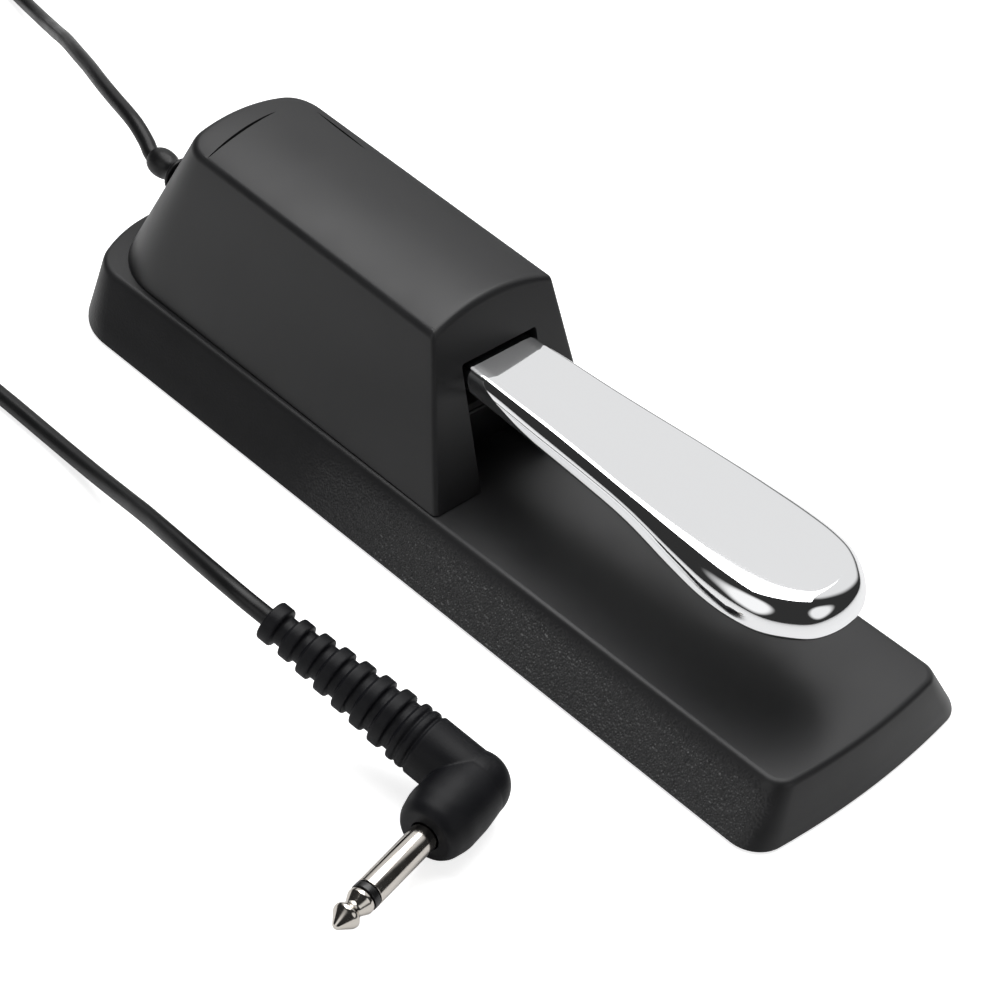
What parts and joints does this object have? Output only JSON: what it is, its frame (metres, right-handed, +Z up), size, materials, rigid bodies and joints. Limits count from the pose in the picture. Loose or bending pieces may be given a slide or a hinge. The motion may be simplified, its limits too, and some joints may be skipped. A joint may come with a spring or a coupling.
{
  "type": "piano-style sustain pedal",
  "caption": "Piano-style sustain pedal: low black base, tower housing with a sprung chrome lever, snap switch, and a cord to a right-angle 6.35 mm plug.",
  "frame": {"origin": "centre of the base's footprint, on the floor under the rubber mat", "axes": "+Z up, -Y towards the pedal's tip (the player), +X to the player's right"},
  "size_m": [0.1708, 0.461, 0.0617],
  "materials": {
    "black_abs": "satin black moulded ABS, fine pebbled grain on the sides",
    "chrome": "polished chrome plate",
    "steel": "zinc-plated pressed steel",
    "spring_steel": "drawn spring wire",
    "zinc": "bright zinc-plated screw",
    "rubber": "matte black rubber",
    "nylon": "natural nylon",
    "brass": "rolled brass",
    "switch_case": "black phenolic",
    "red_plastic": "red plastic",
    "cord_jacket": "satin black PVC",
    "plug_boot": "moulded blue-black PVC",
    "plug_ring": "black insulator",
    "nickel": "nickel plate"
  },
  "bodies": {
    "base": {"rubber_mat": "rubber", "weight_plate": "steel", "base_shell": "black_abs", "housing_cover": "black_abs", "pivot_bracket": "steel", "pivot_shaft": "steel", "retaining_clip_right": "steel", "retaining_clip_left": "steel", "return_spring": "spring_steel", "spring_cup": "nylon", "upper_stop": "rubber", "lower_stop": "rubber", "switch_body": "switch_case", "cable_clamp": "nylon", "strain_relief": "cord_jacket", "inner_cable": "cord_jacket", "lead_signal": "red_plastic", "lead_ground": "cord_jacket", "cord_rear": "cord_jacket", "cord_coil": "cord_jacket", "cord_plug": "cord_jacket", "plug_body": "plug_boot", "plug_sleeve": "nickel", "plug_insulator": "plug_ring", "plug_tip": "nickel", "plate_screw_front_right": "zinc", "plate_screw_front_left": "zinc", "plate_screw_middle_right": "zinc", "plate_screw_middle_left": "zinc", "plate_screw_rear_right": "zinc", "plate_screw_rear_left": "zinc", "bracket_screw_front_right": "zinc", "bracket_screw_front_left": "zinc", "bracket_screw_rear_right": "zinc", "bracket_screw_rear_left": "zinc", "housing_screw_front_right": "zinc", "housing_screw_front_left": "zinc", "housing_screw_rear_right": "zinc", "housing_screw_rear_left": "zinc", "clamp_screw_right": "zinc", "clamp_screw_left": "zinc", "switch_screw_front": "zinc", "switch_screw_rear": "zinc"},
    "pedal": {"pedal_lever": "chrome", "pivot_bush_right": "nylon", "pivot_bush_left": "nylon"},
    "switch_lever": {"switch_arm": "brass"},
    "plunger": {"switch_plunger": "red_plastic"}
  },
  "joints": [
    {"name": "pedal_press", "type": "hinge", "parent": "base", "child": "pedal", "pos_m": [0, 0.066, 0.0384], "axis": [1, 0, 0], "range_deg": [0, 5], "stiffness_Nm_per_rad": 8, "springref_deg": -8.59, "deforming": ["return_spring"]},
    {"name": "switch_arm_turn", "type": "hinge", "parent": "base", "child": "switch_lever", "pos_m": [0, 0.0422, 0.0296], "axis": [1, 0, 0], "range_deg": [0, 12.4]},
    {"name": "plunger_travel", "type": "slide", "parent": "base", "child": "plunger", "axis": [0, 0, -1], "range_m": [0, 0.0019]}
  ],
  "couplings": [
    {"joint": "switch_arm_turn", "follows": "pedal_press", "ratio": 2.47},
    {"joint": "plunger_travel", "follows": "pedal_press", "m_per_rad": 0.0212}
  ]
}
